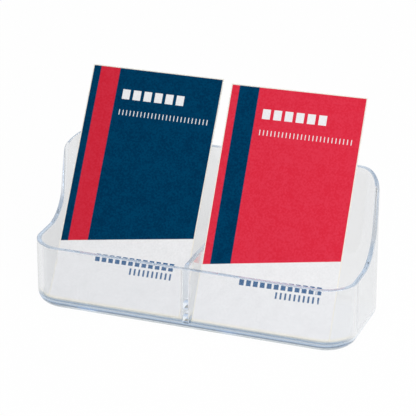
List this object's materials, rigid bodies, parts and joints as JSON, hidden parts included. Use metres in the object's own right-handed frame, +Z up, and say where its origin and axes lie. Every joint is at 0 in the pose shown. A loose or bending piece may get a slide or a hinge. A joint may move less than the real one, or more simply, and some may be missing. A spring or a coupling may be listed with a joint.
{
  "type": "business card holder stand",
  "caption": "Clear moulded desk stand with a low front wall, swept sides, a tall back wall and a centre divider; portrait business cards lean back in its pockets.",
  "frame": {"origin": "middle of the flat underside of the holder, on the desk", "axes": "+X to the right as seen from the front, -Y to the front, +Y to the tall back wall, +Z up"},
  "size_m": [0.1224, 0.0566, 0.0766],
  "materials": {
    "clear_plastic": "polished",
    "blue_card": "satin",
    "red_card": "satin"
  },
  "bodies": {
    "holder": {"holder": "clear_plastic"},
    "left_card": {"left_card": "blue_card"},
    "right_card": {"right_card": "red_card"}
  },
  "joints": [
    {"name": "left_card_lift", "type": "slide", "parent": "holder", "child": "left_card", "axis": [-0.0197, 0.5663, 0.824], "range_m": [0, 0.075]},
    {"name": "right_card_lift", "type": "slide", "parent": "holder", "child": "right_card", "axis": [-0.0356, 0.5667, 0.8231], "range_m": [0, 0.075]}
  ]
}
